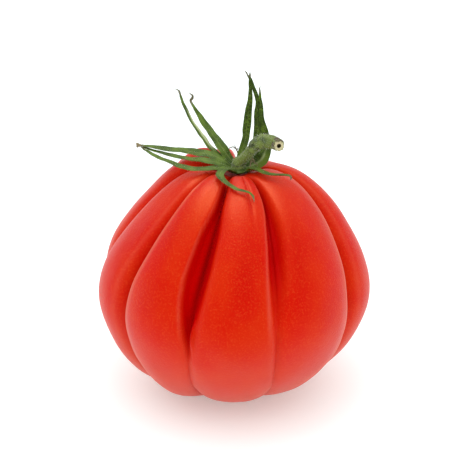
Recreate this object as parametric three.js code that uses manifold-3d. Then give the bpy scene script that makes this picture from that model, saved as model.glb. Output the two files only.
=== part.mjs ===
// A ribbed beefsteak tomato with its green calyx and a stub of stem.
// Sizes are in millimetres. +Z is up, -Y is the side with the deep pleat, and the origin is the
// middle of the small flat spot that the fruit rests on. The fruit, the calyx and the stem grew
// as three organs, and each is one closed solid.
import * as THREE from 'three';
import { mergeVertices } from 'three/addons/utils/BufferGeometryUtils.js';
import Module from 'manifold-3d';

const wasm = await Module();
wasm.setup();

// Driving sizes
const HOLLOW = 76;            // height of the hollow that the calyx sits in
const JOIN_GAP = 0.3;         // clear space between two organs
const WELD_GAP = 1e-4;        // vertices closer than this are one
const LOBE_COLUMNS = 12;      // columns of faces across one lobe of the fruit
const ROWS_PER_STATION = 2;   // rows of faces between two stations of the crest
const LOBE_ROUNDNESS = 0.35;  // share of a pleat's depth that the whole lobe curves away by

// The crest of a lobe, from the flat spot up to the hollow: [radius, height, depth of a pleat]
const CREST = [
  [0, 0, 0],               // middle of the flat spot
  [5, 0, 0],
  [10, 0, 0.3],            // rim of the flat spot
  [20.5, 3, 1],
  [31, 9.6, 2.4],          // foot
  [39.8, 20.5, 4],
  [44.6, 34.5, 5.2],       // belly
  [42.8, 48, 5.8],
  [36, 60.5, 5.9],         // shoulder
  [27.8, 70.3, 5.5],
  [19.6, 76.6, 4.7],
  [11.8, 79.2, 3.4],       // lip round the hollow
  [6.6, 77.8, 1.6],
  [3.2, HOLLOW + 0.2, 0.3],
  [0, HOLLOW, 0],
];

// Places along the crest, counted in stations, where the fruit's features sit
const BELLY = 6;
const LIP = 11;
const FOOT_TURN = [3, 6];
const DEPTH_STATIONS = [3, 4.5, 5.5, 6.5, 8, 10];
const SWELL_PLACES = { foot: [4, 1.2], belly: [6, 1.3], shoulder: [8.7, 1.3] };   // middle, spread
const LIP_RISE = [7.5, 10.5];
const LIP_FALL = [11.5, 13];
const FLOOR_START = [5.5, 7.9];   // where the flat floor of a wide pleat widens to its full width
const FLOOR_END = [8.6, 9.8];     // where it narrows again
const FLOOR_NARROWING = 0.6;      // share of its width that it loses there

// The pleats between the lobes, counter-clockwise from above when seen from -Y towards +X:
// azimuth in degrees at the foot, the belly and the lip (0 faces -Y, 90 faces +X), depth at each of
// DEPTH_STATIONS as a share of the crest's own depth, how steep its two walls are, and the shares
// of the lobes before and after it that lie nearly as deep as the pleat itself.
const PLEATS = [
  {
    foot: -25.5, belly: -20.3, lip: -12, depth: [1, 0.3, 0.3, 1.05, 1.25, 1.15],
    walls: [22, 9], floors: [0.31, 0.18],
  },
  {
    foot: 22.5, belly: 18.3, lip: 31.5, depth: [0.9, 0.3, 0.35, 0.35, 0.9, 1.1],
    walls: [16, 12], floors: [0.16, 0.13],
  },
  { foot: 62.5, belly: 62.5, lip: 88, depth: [1.2, 1.2, 1.2, 1.15, 1, 0.9], walls: [9, 7] },
  { foot: 95, belly: 95, lip: 118, depth: [1, 0.95, 0.95, 1, 1, 1], walls: [6, 6] },
  { foot: 131, belly: 131, lip: 146, depth: [0.9, 0.75, 0.75, 0.85, 1, 1.1], walls: [6, 6] },
  { foot: 168, belly: 168, lip: 176, depth: [1.1, 1, 1.05, 1.1, 1.2, 1.1], walls: [6, 6] },
  { foot: 203, belly: 203, lip: 210, depth: [1, 0.85, 0.85, 0.9, 1, 1], walls: [6, 6] },
  { foot: 234, belly: 234, lip: 242, depth: [1.1, 1, 1, 1, 1.1, 1], walls: [6, 6] },
  { foot: 267, belly: 267, lip: 274, depth: [1.2, 1.1, 1.1, 1.1, 1, 0.9], walls: [6, 6] },
  { foot: 302, belly: 302, lip: 315, depth: [1.2, 1.2, 1.25, 1.2, 1, 0.5], walls: [7, 10] },
];

// How far each lobe stands out past the common crest, in millimetres. Lobe k follows pleat k.
const LOBES = [
  { foot: 0.8, belly: 0.5, shoulder: 0, lip: 0 },
  { foot: 0.4, belly: 0.3, shoulder: 0, lip: -0.5 },
  { foot: 0.5, belly: 0.8, shoulder: 0.6, lip: -1 },
  { foot: 0, belly: 0, shoulder: 0, lip: -3 },
  { foot: 0, belly: 0, shoulder: 0, lip: -2.8 },
  { foot: 0, belly: 0, shoulder: 0, lip: 0 },
  { foot: 0, belly: 0, shoulder: -1.5, lip: 2.2 },
  { foot: 0, belly: 0, shoulder: -1.5, lip: 1.5 },
  { foot: 2.5, belly: 0.8, shoulder: -1.8, lip: 0 },
  { foot: 2, belly: 0, shoulder: -0.5, lip: 0 },
];

// The calyx plate that carries the sepals: its middle, and its outline as [radius, height]
const PLATE_CENTRE = [1.6, -0.2];
const PLATE_TOP = HOLLOW + 2.4;
const PLATE_OUTLINE = [
  [0, HOLLOW + 0.5],
  [1.3, HOLLOW + 0.6],
  [3.2, HOLLOW + 1.7],
  [3.9, HOLLOW + 2.1],
  [3.5, PLATE_TOP - 0.1],
  [0, PLATE_TOP],
];
const PLATE_SIDES = 20;

// Sepals. Each route runs from the plate to the tip as [x, y, height above the hollow]. Widths
// are at even steps from root to tip, and `face` is the way that the inner face looks.
const SEPAL_SIDES = 6;
const SEPAL_STEPS = 14;
const ROOT_FACE = new THREE.Vector3(0, -0.2, 1);
const ROOT_SHARE = 0.3;               // share of a sepal in which it turns from ROOT_FACE to `face`
const SEPAL_THICKNESS = [1.2, 0.7];   // at the root and at the tip
const SEPALS = [
  {
    name: 'left_upper', face: [0.1, -0.5, 1], widths: [2.8, 3, 2.6, 1.8, 0.8],
    route: [[-0.8, 0.4, 1.7], [-3.6, 0.9, 3.9], [-7.8, 2, 5.4], [-12.2, 3, 5.8], [-18.6, 4, 6.2],
      [-25.2, 5, 6.8], [-31.6, 6, 7.6]],
  },
  {
    name: 'left_middle', face: [0.1, -0.3, 1], widths: [2.6, 2.6, 1.9, 1.5, 0.7],
    route: [[-0.9, -0.6, 1.7], [-3.4, -1.6, 3.3], [-6.6, -1.6, 4.3], [-9.8, -1.2, 4.7],
      [-14.3, 0, 4.8], [-18.6, 1.6, 5], [-23, 3.2, 5.5], [-27, 4.6, 6.2], [-31.2, 6, 7.2]],
  },
  {
    name: 'left_lower', face: [-0.1, -0.4, 1], widths: [2.6, 2.2, 1.8, 1.5, 0.7],
    route: [[-0.4, -1.6, 1.6], [-2.8, -3.8, 3], [-6, -6, 4.1], [-11, -7.6, 4.5], [-14.2, -7.6, 4.8],
      [-18.6, -5.4, 5.2], [-23, -1, 5.1], [-27.4, 3.2, 5.7], [-31, 5.8, 6.9]],
  },
  {
    name: 'back_left_thin', face: [0.75, -0.45, 0.25], widths: [2.6, 2.2, 2, 1.5, 0.6],
    route: [[-0.6, 1.2, 1.6], [-3.4, 2.6, 3.7], [-6, 4, 5.4], [-8.6, 5.4, 7.4], [-12.4, 8, 12.2],
      [-15.4, 10, 17], [-17.4, 12, 21.4], [-18.3, 13, 23.8], [-20.2, 13.5, 24.2]],
  },
  {
    name: 'back_left_broad', face: [0.5, -0.8, 0.3], widths: [3, 3.4, 2.9, 2.2, 1.1, 0.6],
    route: [[0.3, 1.8, 1.7], [-2, 3.4, 4.3], [-4.2, 5.2, 7], [-7.2, 8, 10.1], [-9.8, 10.5, 13],
      [-11.8, 12.2, 15.7], [-13.1, 13.5, 17.6], [-14.3, 15, 19.4], [-13.5, 15.7, 20.6],
      [-15, 16, 22]],
  },
  {
    name: 'back_tall', face: [0.3, -1, 0.2], widths: [2.4, 2.4, 2.8, 2.3, 1.2, 0.6],
    route: [[1.6, 2.2, 1.7], [2.2, 3.8, 4.6], [3, 5.4, 7], [3.7, 7.4, 9.4], [3.9, 8.8, 11.2],
      [4.4, 10, 13.8], [4.6, 11, 17.4], [5.1, 12, 21], [5.3, 12.7, 25.5], [5.3, 12.4, 31]],
  },
  {
    name: 'right_tall', face: [-0.2, -1, 0.3], widths: [2.8, 3.2, 2.6, 1.7, 1.2, 0.6],
    route: [[3.6, 1.2, 1.8], [6.2, 2.6, 5], [7.5, 3.9, 8.4], [7.8, 5.2, 11.8], [7.7, 6.5, 15.6],
      [7.6, 7.3, 18.8], [7.7, 8.1, 21.8], [6.9, 9, 24.8], [5.6, 9.6, 28.2], [3.3, 10, 32]],
  },
  {
    name: 'right_broad', face: [-0.3, -1, 0.1], widths: [3.4, 4.4, 3.2, 2, 1.1, 0.5],
    route: [[4.2, -0.3, 1.7], [7.2, -0.2, 3.2], [9.6, 0.4, 5.4], [10.5, 2, 8.4], [10.1, 4, 12],
      [9.3, 5.2, 16], [8.8, 6.3, 19.8], [8.5, 7.3, 24.2], [8.3, 7.8, 27.9]],
  },
  {
    name: 'front_curl', face: [0, -0.3, 1], widths: [2.8, 3.2, 2.6, 1.4, 1.1, 0.6],
    route: [[0.8, -2.2, 1.6], [-1.4, -4.8, 3.3], [-3.4, -8, 4.2], [-4.6, -11.4, 4],
      [-3.7, -14, 3.5], [-1.8, -16.2, 2.9], [0.4, -18.4, 2.4], [3, -19.6, 2.1], [5, -20.2, 1.6],
      [6, -21, 0.8], [6.2, -22.6, -0.5]],
  },
  {
    name: 'right_curl', face: [0, -0.1, 1], widths: [2.8, 2.6, 1.7, 1.2, 0.7],
    route: [[3.6, -1.9, 1.7], [5.6, -3.8, 3.3], [7.2, -6.8, 4.1], [9.4, -9, 3.9], [12, -9.9, 3.7],
      [14.8, -10.2, 3.7], [17, -10.4, 3.7], [18.1, -10.8, 3.3], [17.9, -11.4, 2.3]],
  },
];

// The stem: its route as [x, y, height above the hollow], its radius at even steps from the
// calyx to the cut end, and the ring and the hole of the cut end
const STEM_SIDES = 14;
const STEM_STEPS = 18;
const STEM_ROUTE = [
  [1.4, -0.4, 2.5 + JOIN_GAP], [1.4, -0.45, 3.9], [3.1, -1.2, 5.7], [5.5, -2.3, 8.9],
  [7, -3, 11.2], [8.6, -3.5, 12.5], [10.4, -3.9, 12.8], [12.4, -4.3, 12.6], [13.8, -5.5, 12.5],
  [14.3, -7.4, 12.6],
];
const STEM_RADII = [2.2, 1.5, 1.45, 1.7, 2.15, 2.25, 2.1, 1.95];
const CUT_RING = 0.4;   // radius of the hole in the cut end, as a share of the stem's
const CUT_DEPTH = 1.6;
const TINY = 1e-6;      // keeps shares that meet apart

const FINISHES = {
  fruit: { color: 0xde321c, roughness: 0.35 },
  calyx: { color: 0x4f7a36, roughness: 0.75 },
  stem: { color: 0x6f8757, roughness: 0.8 },
};

// A smooth step from 0 at `low` to 1 at `high`
const ease = THREE.MathUtils.smoothstep;

// A bump of height 1 round one station
function bump(station, middle, width) {
  return Math.exp(-(((station - middle) / width) ** 2));
}

// The value of a list of numbers at a place counted in its own steps
function alongList(values, place) {
  const low = Math.min(Math.floor(place), values.length - 2);
  return THREE.MathUtils.lerp(values[low], values[low + 1], place - low);
}

// A pleat's depth as a share of the crest's own depth
function pleatShare(pleat, station) {
  const last = DEPTH_STATIONS.length - 1;
  if (station <= DEPTH_STATIONS[0]) return pleat.depth[0];
  if (station >= DEPTH_STATIONS[last]) return pleat.depth[last];
  const next = DEPTH_STATIONS.findIndex((value) => value > station);
  const share = (station - DEPTH_STATIONS[next - 1]) / (DEPTH_STATIONS[next] - DEPTH_STATIONS[next - 1]);
  return THREE.MathUtils.lerp(pleat.depth[next - 1], pleat.depth[next], share);
}

// The azimuth of a pleat at a station
function pleatAzimuth(pleat, station) {
  const lower = THREE.MathUtils.lerp(pleat.foot, pleat.belly, ease(station, ...FOOT_TURN));
  return lower + (pleat.lip - pleat.belly) * ease(station, BELLY, LIP);
}

// A wall's depth from 0 on the lobe to 1 in the pleat. It levels out where the valley's floor begins.
function wallShare(across, steepness, floor) {
  const levelled = (power) => power / Math.cbrt(1 + power ** 3);
  const reach = 1 - floor;
  return levelled((Math.abs(across) / reach) ** steepness) / levelled((1 / reach) ** steepness);
}

// How much of its full width a pleat's floor has at a station
function floorWidth(station) {
  return ease(station, ...FLOOR_START) * (1 - FLOOR_NARROWING * ease(station, ...FLOOR_END));
}

const crestLine = new THREE.SplineCurve(CREST.map(([radius, height]) => new THREE.Vector2(radius, height)));
const depthLine = new THREE.SplineCurve(CREST.map(([, , depth], i) => new THREE.Vector2(i, depth)));
const LAST_STATION = CREST.length - 1;

// The point of the fruit's skin on lobe `index`, at a station of the crest and at `across`,
// which runs from -1 at the pleat before the lobe to 1 at the pleat after it
function skinPoint(index, station, across) {
  const before = PLEATS[index];
  const after = PLEATS[(index + 1) % PLEATS.length];
  const lobe = LOBES[index];
  const turn = index === PLEATS.length - 1 ? 360 : 0;
  const from = pleatAzimuth(before, station);
  const to = pleatAzimuth(after, station) + turn;
  const azimuth = THREE.MathUtils.degToRad((from + to) / 2 + ((to - from) / 2) * across);

  const place = station / LAST_STATION;
  const crest = crestLine.getPoint(place);
  const slope = crestLine.getTangent(place);
  const depth = Math.max(depthLine.getPoint(place).y, 0);

  const near = across < 0 ? before : after;
  const side = across < 0 ? 1 : 0;
  const { walls, floors = [0, 0] } = near;
  const wall = wallShare(across, walls[side], floors[side] * floorWidth(station));
  const groove = LOBE_ROUNDNESS * across ** 2 + (1 - LOBE_ROUNDNESS) * wall;
  const dome = 1 - across ** 2;
  const swells = Object.entries(SWELL_PLACES).map(([name, place]) => lobe[name] * bump(station, ...place));
  const swell = swells.reduce((sum, value) => sum + value);
  const rise = lobe.lip * ease(station, ...LIP_RISE) * (1 - ease(station, ...LIP_FALL));

  const push = swell * dome - depth * pleatShare(near, station) * groove;
  const radius = Math.max(crest.x + push * slope.y, 0);
  const height = Math.max(crest.y - push * slope.x + rise * dome, 0);
  return new THREE.Vector3(radius * Math.sin(azimuth), -radius * Math.cos(azimuth), height);
}

// The fruit: a lathe of the crest, with each column of its vertices moved to its place on a lobe
function makeFruit() {
  const rows = LAST_STATION * ROWS_PER_STATION;
  const columns = PLEATS.length * LOBE_COLUMNS;
  const outline = Array.from({ length: rows + 1 }, (_, row) => crestLine.getPoint(row / rows));
  const geometry = new THREE.LatheGeometry(outline, columns);
  const position = geometry.getAttribute('position');
  for (let column = 0; column <= columns; column += 1) {
    const lobe = Math.floor((column % columns) / LOBE_COLUMNS);
    const step = (column % LOBE_COLUMNS) / LOBE_COLUMNS;
    const across = Math.sin((step - 0.5) * Math.PI);
    for (let row = 0; row <= rows; row += 1) {
      const point = skinPoint(lobe, row / ROWS_PER_STATION, across);
      position.setXYZ(column * (rows + 1) + row, point.x, point.y, point.z);
    }
  }
  return weld(geometry);
}

// One closed surface with its shared vertices merged
function weld(geometry) {
  const bare = geometry.clone();
  bare.deleteAttribute('normal');
  bare.deleteAttribute('uv');
  return mergeVertices(bare, WELD_GAP);
}

// A closed body along a route. `ring` gives, for a share of the way along it, where the section
// stands on the route, its half sizes across and through the body, and the way that it faces.
function sweep(route, sides, steps, ring) {
  const curve = new THREE.CatmullRomCurve3(route.map(([x, y, z]) => new THREE.Vector3(x, y, HOLLOW + z)));
  const geometry = new THREE.CylinderGeometry(1, 1, 1, sides, steps);
  const position = geometry.getAttribute('position');
  const corner = new THREE.Vector3();
  for (let i = 0; i < position.count; i += 1) {
    corner.fromBufferAttribute(position, i);
    const { place, across, through, face } = ring(0.5 + corner.y);
    const centre = curve.getPointAt(place);
    const along = curve.getTangentAt(place);
    const side = new THREE.Vector3().crossVectors(along, face).normalize();
    const out = new THREE.Vector3().crossVectors(side, along);
    centre.addScaledVector(side, corner.x * across).addScaledVector(out, corner.z * through);
    position.setXYZ(i, centre.x, centre.y, centre.z);
  }
  return weld(geometry);
}

// A sepal: a slim blade that narrows to its tip
function makeSepal({ face, widths, route }) {
  const lastWidth = widths.length - 1;
  const bladeFace = new THREE.Vector3(...face);
  return sweep(route, SEPAL_SIDES, SEPAL_STEPS, (share) => ({
    place: share,
    across: alongList(widths, share * lastWidth) / 2,
    through: THREE.MathUtils.lerp(...SEPAL_THICKNESS, share) / 2,
    face: ROOT_FACE.clone().lerp(bladeFace, ease(share, 0, ROOT_SHARE)),
  }));
}

function toSolid(geometry) {
  const triVerts = Uint32Array.from(geometry.getIndex().array);
  const vertProperties = Float32Array.from(geometry.getAttribute('position').array);
  return new wasm.Manifold(new wasm.Mesh({ numProp: 3, vertProperties, triVerts }));
}

function toGeometry(solid) {
  const { vertProperties, triVerts } = solid.getMesh();
  const geometry = new THREE.BufferGeometry();
  geometry.setAttribute('position', new THREE.BufferAttribute(vertProperties, 3));
  geometry.setIndex(new THREE.BufferAttribute(triVerts, 1));
  return geometry;
}

// The calyx: the plate with every sepal grown out of it
function makeCalyx() {
  const outline = PLATE_OUTLINE.map(([radius, height]) => new THREE.Vector2(radius, height));
  const plate = new THREE.LatheGeometry(outline, PLATE_SIDES);
  plate.rotateX(Math.PI / 2);
  plate.translate(PLATE_CENTRE[0], PLATE_CENTRE[1], 0);
  const sepals = SEPALS.map((sepal) => toSolid(makeSepal(sepal)));
  return toGeometry(sepals.reduce((joined, sepal) => joined.add(sepal), toSolid(weld(plate))));
}

// The stem: the route out to the cut end, then back down into the hole of the cut
function makeStem() {
  const curve = new THREE.CatmullRomCurve3(STEM_ROUTE.map((point) => new THREE.Vector3(...point)));
  const back = CUT_DEPTH / curve.getLength();
  const outside = (STEM_STEPS - 2) / STEM_STEPS;
  const lastRadius = STEM_RADII.length - 1;
  const face = new THREE.Vector3(0, 0, 1);
  return sweep(STEM_ROUTE, STEM_SIDES, STEM_STEPS, (share) => {
    const place = Math.min(share / outside, 1);
    const inHole = share > outside + TINY;
    const atFloor = share > 1 - TINY;
    const radius = alongList(STEM_RADII, place * lastRadius) * (inHole ? CUT_RING : 1);
    return { place: atFloor ? 1 - back : place, across: radius, through: radius, face };
  });
}

function organ(name, geometry) {
  const finish = new THREE.MeshStandardMaterial({ ...FINISHES[name], metalness: 0 });
  const mesh = new THREE.Mesh(geometry, finish);
  mesh.name = name;
  return mesh;
}

const group = new THREE.Group();
group.name = 'tomato';
group.add(organ('fruit', makeFruit()));
group.add(organ('calyx', makeCalyx()));
group.add(organ('stem', makeStem()));

export default group;
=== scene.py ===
"""A ribbed beefsteak tomato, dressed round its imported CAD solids.

The fruit, the calyx and the stem each get a finer mesh in place of their CAD node. It keeps the
node's form, because both come from the same named sizes, and it adds the skin's small dents, the
curled and dried sepals, the ragged cut end and the down. Tables of sizes are in millimetres, in
the frame of the part: +Z is up and -Y is the side with the deep pleat.
"""

import logging
import math
import random
from collections.abc import Callable, Sequence
from dataclasses import dataclass, field
from enum import Enum

import bpy
import numpy as np
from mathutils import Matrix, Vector, noise
from mathutils.kdtree import KDTree


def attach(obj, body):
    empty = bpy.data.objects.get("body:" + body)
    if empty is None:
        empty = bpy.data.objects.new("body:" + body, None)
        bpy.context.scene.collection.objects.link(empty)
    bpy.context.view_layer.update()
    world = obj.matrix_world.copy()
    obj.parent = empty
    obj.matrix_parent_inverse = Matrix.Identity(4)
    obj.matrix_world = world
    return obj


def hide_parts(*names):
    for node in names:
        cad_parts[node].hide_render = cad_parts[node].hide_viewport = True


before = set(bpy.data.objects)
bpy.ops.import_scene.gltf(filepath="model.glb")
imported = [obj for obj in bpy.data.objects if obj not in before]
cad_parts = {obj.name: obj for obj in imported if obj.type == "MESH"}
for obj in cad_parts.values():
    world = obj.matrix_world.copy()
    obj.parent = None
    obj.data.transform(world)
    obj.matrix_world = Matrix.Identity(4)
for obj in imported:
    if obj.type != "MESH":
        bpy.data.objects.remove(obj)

LOG = logging.getLogger("tomato")
MM = 0.001
BODY = "root"
AXES = range(3)

Pair = tuple[float, float]
Place = tuple[float, float, float]
Colour = tuple[float, float, float]

# The crest of a lobe, from the flat spot up to the hollow: radius, height, depth of a pleat
HOLLOW = 76.0
CREST = (
    (0, 0, 0),
    (5, 0, 0),
    (10, 0, 0.3),
    (20.5, 3, 1),
    (31, 9.6, 2.4),
    (39.8, 20.5, 4),
    (44.6, 34.5, 5.2),
    (42.8, 48, 5.8),
    (36, 60.5, 5.9),
    (27.8, 70.3, 5.5),
    (19.6, 76.6, 4.7),
    (11.8, 79.2, 3.4),
    (6.6, 77.8, 1.6),
    (3.2, HOLLOW + 0.2, 0.3),
    (0, HOLLOW, 0),
)
LAST_STATION = len(CREST) - 1

# Places along the crest, counted in its stations
BELLY = 6.0
LIP = 11.0
FOOT_TURN = (3.0, 6.0)
DEPTH_STATIONS = (3, 4.5, 5.5, 6.5, 8, 10)
FLOOR_START = (5.5, 7.9)
FLOOR_END = (8.6, 9.8)
FLOOR_NARROWING = 0.6
LIP_RISE = (7.5, 10.5)
LIP_FALL = (11.5, 13)
SWELLS = (("foot", (4, 1.2)), ("belly", (6, 1.3)), ("shoulder", (8.7, 1.3)))

# Small numbers that keep a division and a logarithm safe
TINY = 1e-9
RIM_FLOOR = 1e-6

# How far to the right the stem's cut end begins, where few hairs are left
CUT_END = 13.5


class Slot(Enum):
    """The record's material slots."""

    SKIN = "skin"
    SEPAL = "sepal_green"
    STEM = "stem_green"


@dataclass(frozen=True)
class Pleat:
    """A pleat between two lobes.

    foot, belly and lip are its azimuths in degrees (0 faces -Y, 90 faces +X), depth is its depth at
    each of DEPTH_STATIONS as a share of the crest's own, and walls says how steep its two sides are.
    floors are the shares of the lobes before and after it that lie nearly as deep as the pleat
    itself, shade says how far its red deepens as painted shade, and rim_highlights how pale the
    painted highlights on the edges of its walls are.
    """

    foot: float
    belly: float
    lip: float
    depth: tuple[float, ...]
    walls: Pair
    floors: Pair = (0.0, 0.0)
    # painted shade: how far the red of the pleat is painted deeper
    shade: float = 0.35
    # painted highlights: how pale the edges of its walls are painted
    rim_highlights: Pair = (0.3, 0.3)


@dataclass(frozen=True)
class Lobe:
    """How far a lobe stands out past the common crest at its foot, belly, shoulder and lip."""

    foot: float
    belly: float
    shoulder: float
    lip: float


PLEATS = (
    Pleat(
        -25.5, -20.3, -12, (1, 0.3, 0.3, 1.05, 1.25, 1.15), (22, 9),
        floors=(0.31, 0.18), shade=1.0, rim_highlights=(0.35, 0),
    ),
    Pleat(
        22.5, 18.3, 31.5, (0.9, 0.3, 0.35, 0.35, 0.9, 1.1), (16, 12),
        floors=(0.16, 0.13), shade=0.8, rim_highlights=(0.5, 0),
    ),
    Pleat(62.5, 62.5, 88, (1.2, 1.2, 1.2, 1.15, 1, 0.9), (9, 7), rim_highlights=(1, 0.3)),
    Pleat(95, 95, 118, (1, 0.95, 0.95, 1, 1, 1), (6, 6)),
    Pleat(131, 131, 146, (0.9, 0.75, 0.75, 0.85, 1, 1.1), (6, 6)),
    Pleat(168, 168, 176, (1.1, 1, 1.05, 1.1, 1.2, 1.1), (6, 6)),
    Pleat(203, 203, 210, (1, 0.85, 0.85, 0.9, 1, 1), (6, 6)),
    Pleat(234, 234, 242, (1.1, 1, 1, 1, 1.1, 1), (6, 6)),
    Pleat(267, 267, 274, (1.2, 1.1, 1.1, 1.1, 1, 0.9), (6, 6)),
    Pleat(302, 302, 315, (1.2, 1.2, 1.25, 1.2, 1, 0.5), (7, 10), rim_highlights=(0.3, 1)),
)
LOBES = (
    Lobe(0.8, 0.5, 0, 0),
    Lobe(0.4, 0.3, 0, -0.5),
    Lobe(0.5, 0.8, 0.6, -1),
    Lobe(0, 0, 0, -3),
    Lobe(0, 0, 0, -2.8),
    Lobe(0, 0, 0, 0),
    Lobe(0, 0, -1.5, 2.2),
    Lobe(0, 0, -1.5, 1.5),
    Lobe(2.5, 0.8, -1.8, 0),
    Lobe(2, 0, -0.5, 0),
)
FRONT_LOBE = 0
RIGHT_LOBE = 1
LEFT_LOBE = len(LOBES) - 1


@dataclass(frozen=True)
class Mark:
    """A small form or a tone of the skin, in the middle of some place on one lobe.

    Attributes:
        lobe: the lobe's number.
        across: its middle across the lobe, from -1 to 1.
        half_width: its spread across.
        station: its middle along the crest.
        half_height: its spread along.
        strength: its height in millimetres, or the share of its tone.
    """

    lobe: int
    across: float
    half_width: float
    station: float
    half_height: float
    strength: float

    def at(self, lobe: np.ndarray, station: np.ndarray, across: np.ndarray) -> np.ndarray:
        """How strong the mark is at places of the skin.

        Args:
            lobe: each place's lobe.
            station: its place along the crest.
            across: its place across the lobe.

        Returns:
            The mark's strength there.
        """
        patch = bump(across, self.across, self.half_width)
        patch = patch * bump(station, self.station, self.half_height)
        return self.strength * patch * (lobe == self.lobe)


RIPE_SPOTS = (
    Mark(0, 0.18, 0.3, 7.7, 0.8, 1),
    Mark(0, 0.15, 0.35, 5.6, 0.4, 0.5),
    Mark(1, -0.55, 0.22, 8.0, 1.1, 0.9),
    Mark(1, 0.12, 0.3, 6.5, 0.5, 0.7),
    Mark(9, -0.35, 0.35, 8.6, 0.6, 0.8),
    Mark(9, -0.1, 0.4, 7.0, 0.5, 0.5),
    Mark(8, 0.3, 0.4, 8.0, 0.7, 0.6),
    Mark(4, 0, 0.4, 7.5, 0.8, 0.7),
    Mark(6, -0.2, 0.4, 7.0, 0.9, 0.7),
)
ORANGE_SPOT = Mark(9, 0.35, 0.5, 9.6, 0.9, 0.12)
SHORT_RIDGE = Mark(0, -0.9, 0.05, 6.25, 0.35, 2.2)


def ease(x: np.ndarray | float, low: float, high: float) -> np.ndarray | float:
    """A smooth step.

    Args:
        x: where to read it.
        low: where it is still 0.
        high: where it reaches 1.

    Returns:
        The step's value, from 0 to 1.
    """
    t = np.clip((x - low) / (high - low), 0, 1)
    return t * t * (3 - 2 * t)


def bump(x: np.ndarray | float, middle: float, spread: float) -> np.ndarray | float:
    """A round bump.

    Args:
        x: where to read it.
        middle: its middle.
        spread: how far from the middle it has fallen to about a third.

    Returns:
        The bump's height, from 0 to 1.
    """
    return np.exp(-(((x - middle) / spread) ** 2))


def window(x: np.ndarray, rise: Pair, fall: Pair) -> np.ndarray:
    """A smooth plateau that goes up from 0 to 1 over rise, and back down over fall."""
    return ease(x, *rise) * (1 - ease(x, *fall))


def values(items: Sequence[object], name: str, index: np.ndarray) -> np.ndarray:
    """One field of a table's entries, looked up for each index."""
    return np.array([getattr(item, name) for item in items])[index]


def spline(points: Sequence[Sequence[float]], place: np.ndarray) -> tuple[np.ndarray, np.ndarray]:
    """A smooth line through evenly counted points.

    Args:
        points: the points, each with as many numbers as the line has coordinates.
        place: where to read it, counted in points.

    Returns:
        The line's points and its slopes there.
    """
    table = np.asarray(points, float)
    last = len(table) - 1
    low = np.clip(place.astype(int), 0, last - 1)
    t = (place - low)[:, None]
    before = table[np.clip(low - 1, 0, last)]
    start = table[low]
    end = table[low + 1]
    after = table[np.clip(low + 2, 0, last)]
    leave = (end - before) / 2
    arrive = (after - start) / 2
    cubic = 2 * start - 2 * end + leave + arrive
    square = -3 * start + 3 * end - 2 * leave - arrive
    value = ((cubic * t + square) * t + leave) * t + start
    slope = (3 * cubic * t + 2 * square) * t + leave
    return value, slope


def speckle(points: np.ndarray, size: float, seed: float = 0.0) -> np.ndarray:
    """Smooth random values over space.

    Args:
        points: where to read them, in millimetres.
        size: the size of a patch, in millimetres.
        seed: picks another set of patches.

    Returns:
        One value for each point, from about -1 to 1.
    """
    shift = Vector((seed, seed * 1.7, -seed))
    return np.array([noise.noise(Vector(point) / size + shift) for point in points])


def shake(points: np.ndarray, size: float, seed: float, stride: float) -> np.ndarray:
    """Smooth random offsets over space.

    Args:
        points: where to read them, in millimetres.
        size: the size of a patch, in millimetres.
        seed: picks another set of patches.
        stride: how far apart the seeds of the three directions are.

    Returns:
        One offset for each point, with numbers from about -1 to 1.
    """
    return np.stack([speckle(points, size, seed + axis * stride) for axis in AXES], -1)


def select_only(piece: bpy.types.Object) -> None:
    """Makes one object active and selects nothing else.

    Args:
        piece: the object.
    """
    bpy.ops.object.select_all(action="DESELECT")
    piece.select_set(True)
    bpy.context.view_layer.objects.active = piece


def rename(piece: bpy.types.Object, name: str) -> None:
    """Gives an object and its mesh one name."""
    piece.name = name
    piece.data.name = name


def ball(name: str, around: int, rings: int) -> tuple[bpy.types.Object, np.ndarray, np.ndarray]:
    """A closed ball to be shaped into a grown piece.

    Args:
        name: the piece's name.
        around: how many columns it has.
        rings: how many rows of faces it has from pole to pole.

    Returns:
        The object, each vertex's column as an angle, and its row counted in rings from the lower
        pole.
    """
    bpy.ops.object.select_all(action="DESELECT")
    bpy.ops.mesh.primitive_uv_sphere_add(segments=around, ring_count=rings, radius=1)
    piece = bpy.context.object
    rename(piece, name)
    spots = np.array([vertex.co for vertex in piece.data.vertices])
    angle = np.arctan2(spots[:, 0], -spots[:, 1])
    column = np.round(angle / math.tau * around) % around
    row = np.round(np.arccos(np.clip(-spots[:, 2], -1, 1)) / math.pi * rings)
    return piece, column * math.tau / around, row


def move_points(piece: bpy.types.Object, points: np.ndarray) -> None:
    """Puts every vertex of a piece at its new place.

    Args:
        piece: the object to shape.
        points: the new places, in millimetres.
    """
    piece.data.vertices.foreach_set("co", (points * MM).astype(np.float32).ravel())
    piece.data.update()


def give_mesh(
    piece: bpy.types.Object, points: Sequence[Sequence[float]], faces: Sequence[Sequence[int]]
) -> None:
    """Gives an object a new mesh in place of its own.

    Args:
        piece: the object.
        points: the new mesh's points, in metres.
        faces: the points of each of its faces.
    """
    spare = piece.data
    piece.data = bpy.data.meshes.new(piece.name)
    piece.data.from_pydata(points, [], faces)
    bpy.data.meshes.remove(spare)


def put_in_order(piece: bpy.types.Object) -> None:
    """Gives a mesh's points and faces one fixed order, because a union leaves it to chance.

    Args:
        piece: the object.
    """
    spots = np.array([vertex.co for vertex in piece.data.vertices])
    order = np.lexsort(spots.T)
    place = np.empty(len(order), int)
    place[order] = np.arange(len(order))
    faces = []
    for face in piece.data.polygons:
        corners = [int(place[corner]) for corner in face.vertices]
        first = corners.index(min(corners))
        faces.append(corners[first:] + corners[:first])
    give_mesh(piece, spots[order].tolist(), sorted(faces))


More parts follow.
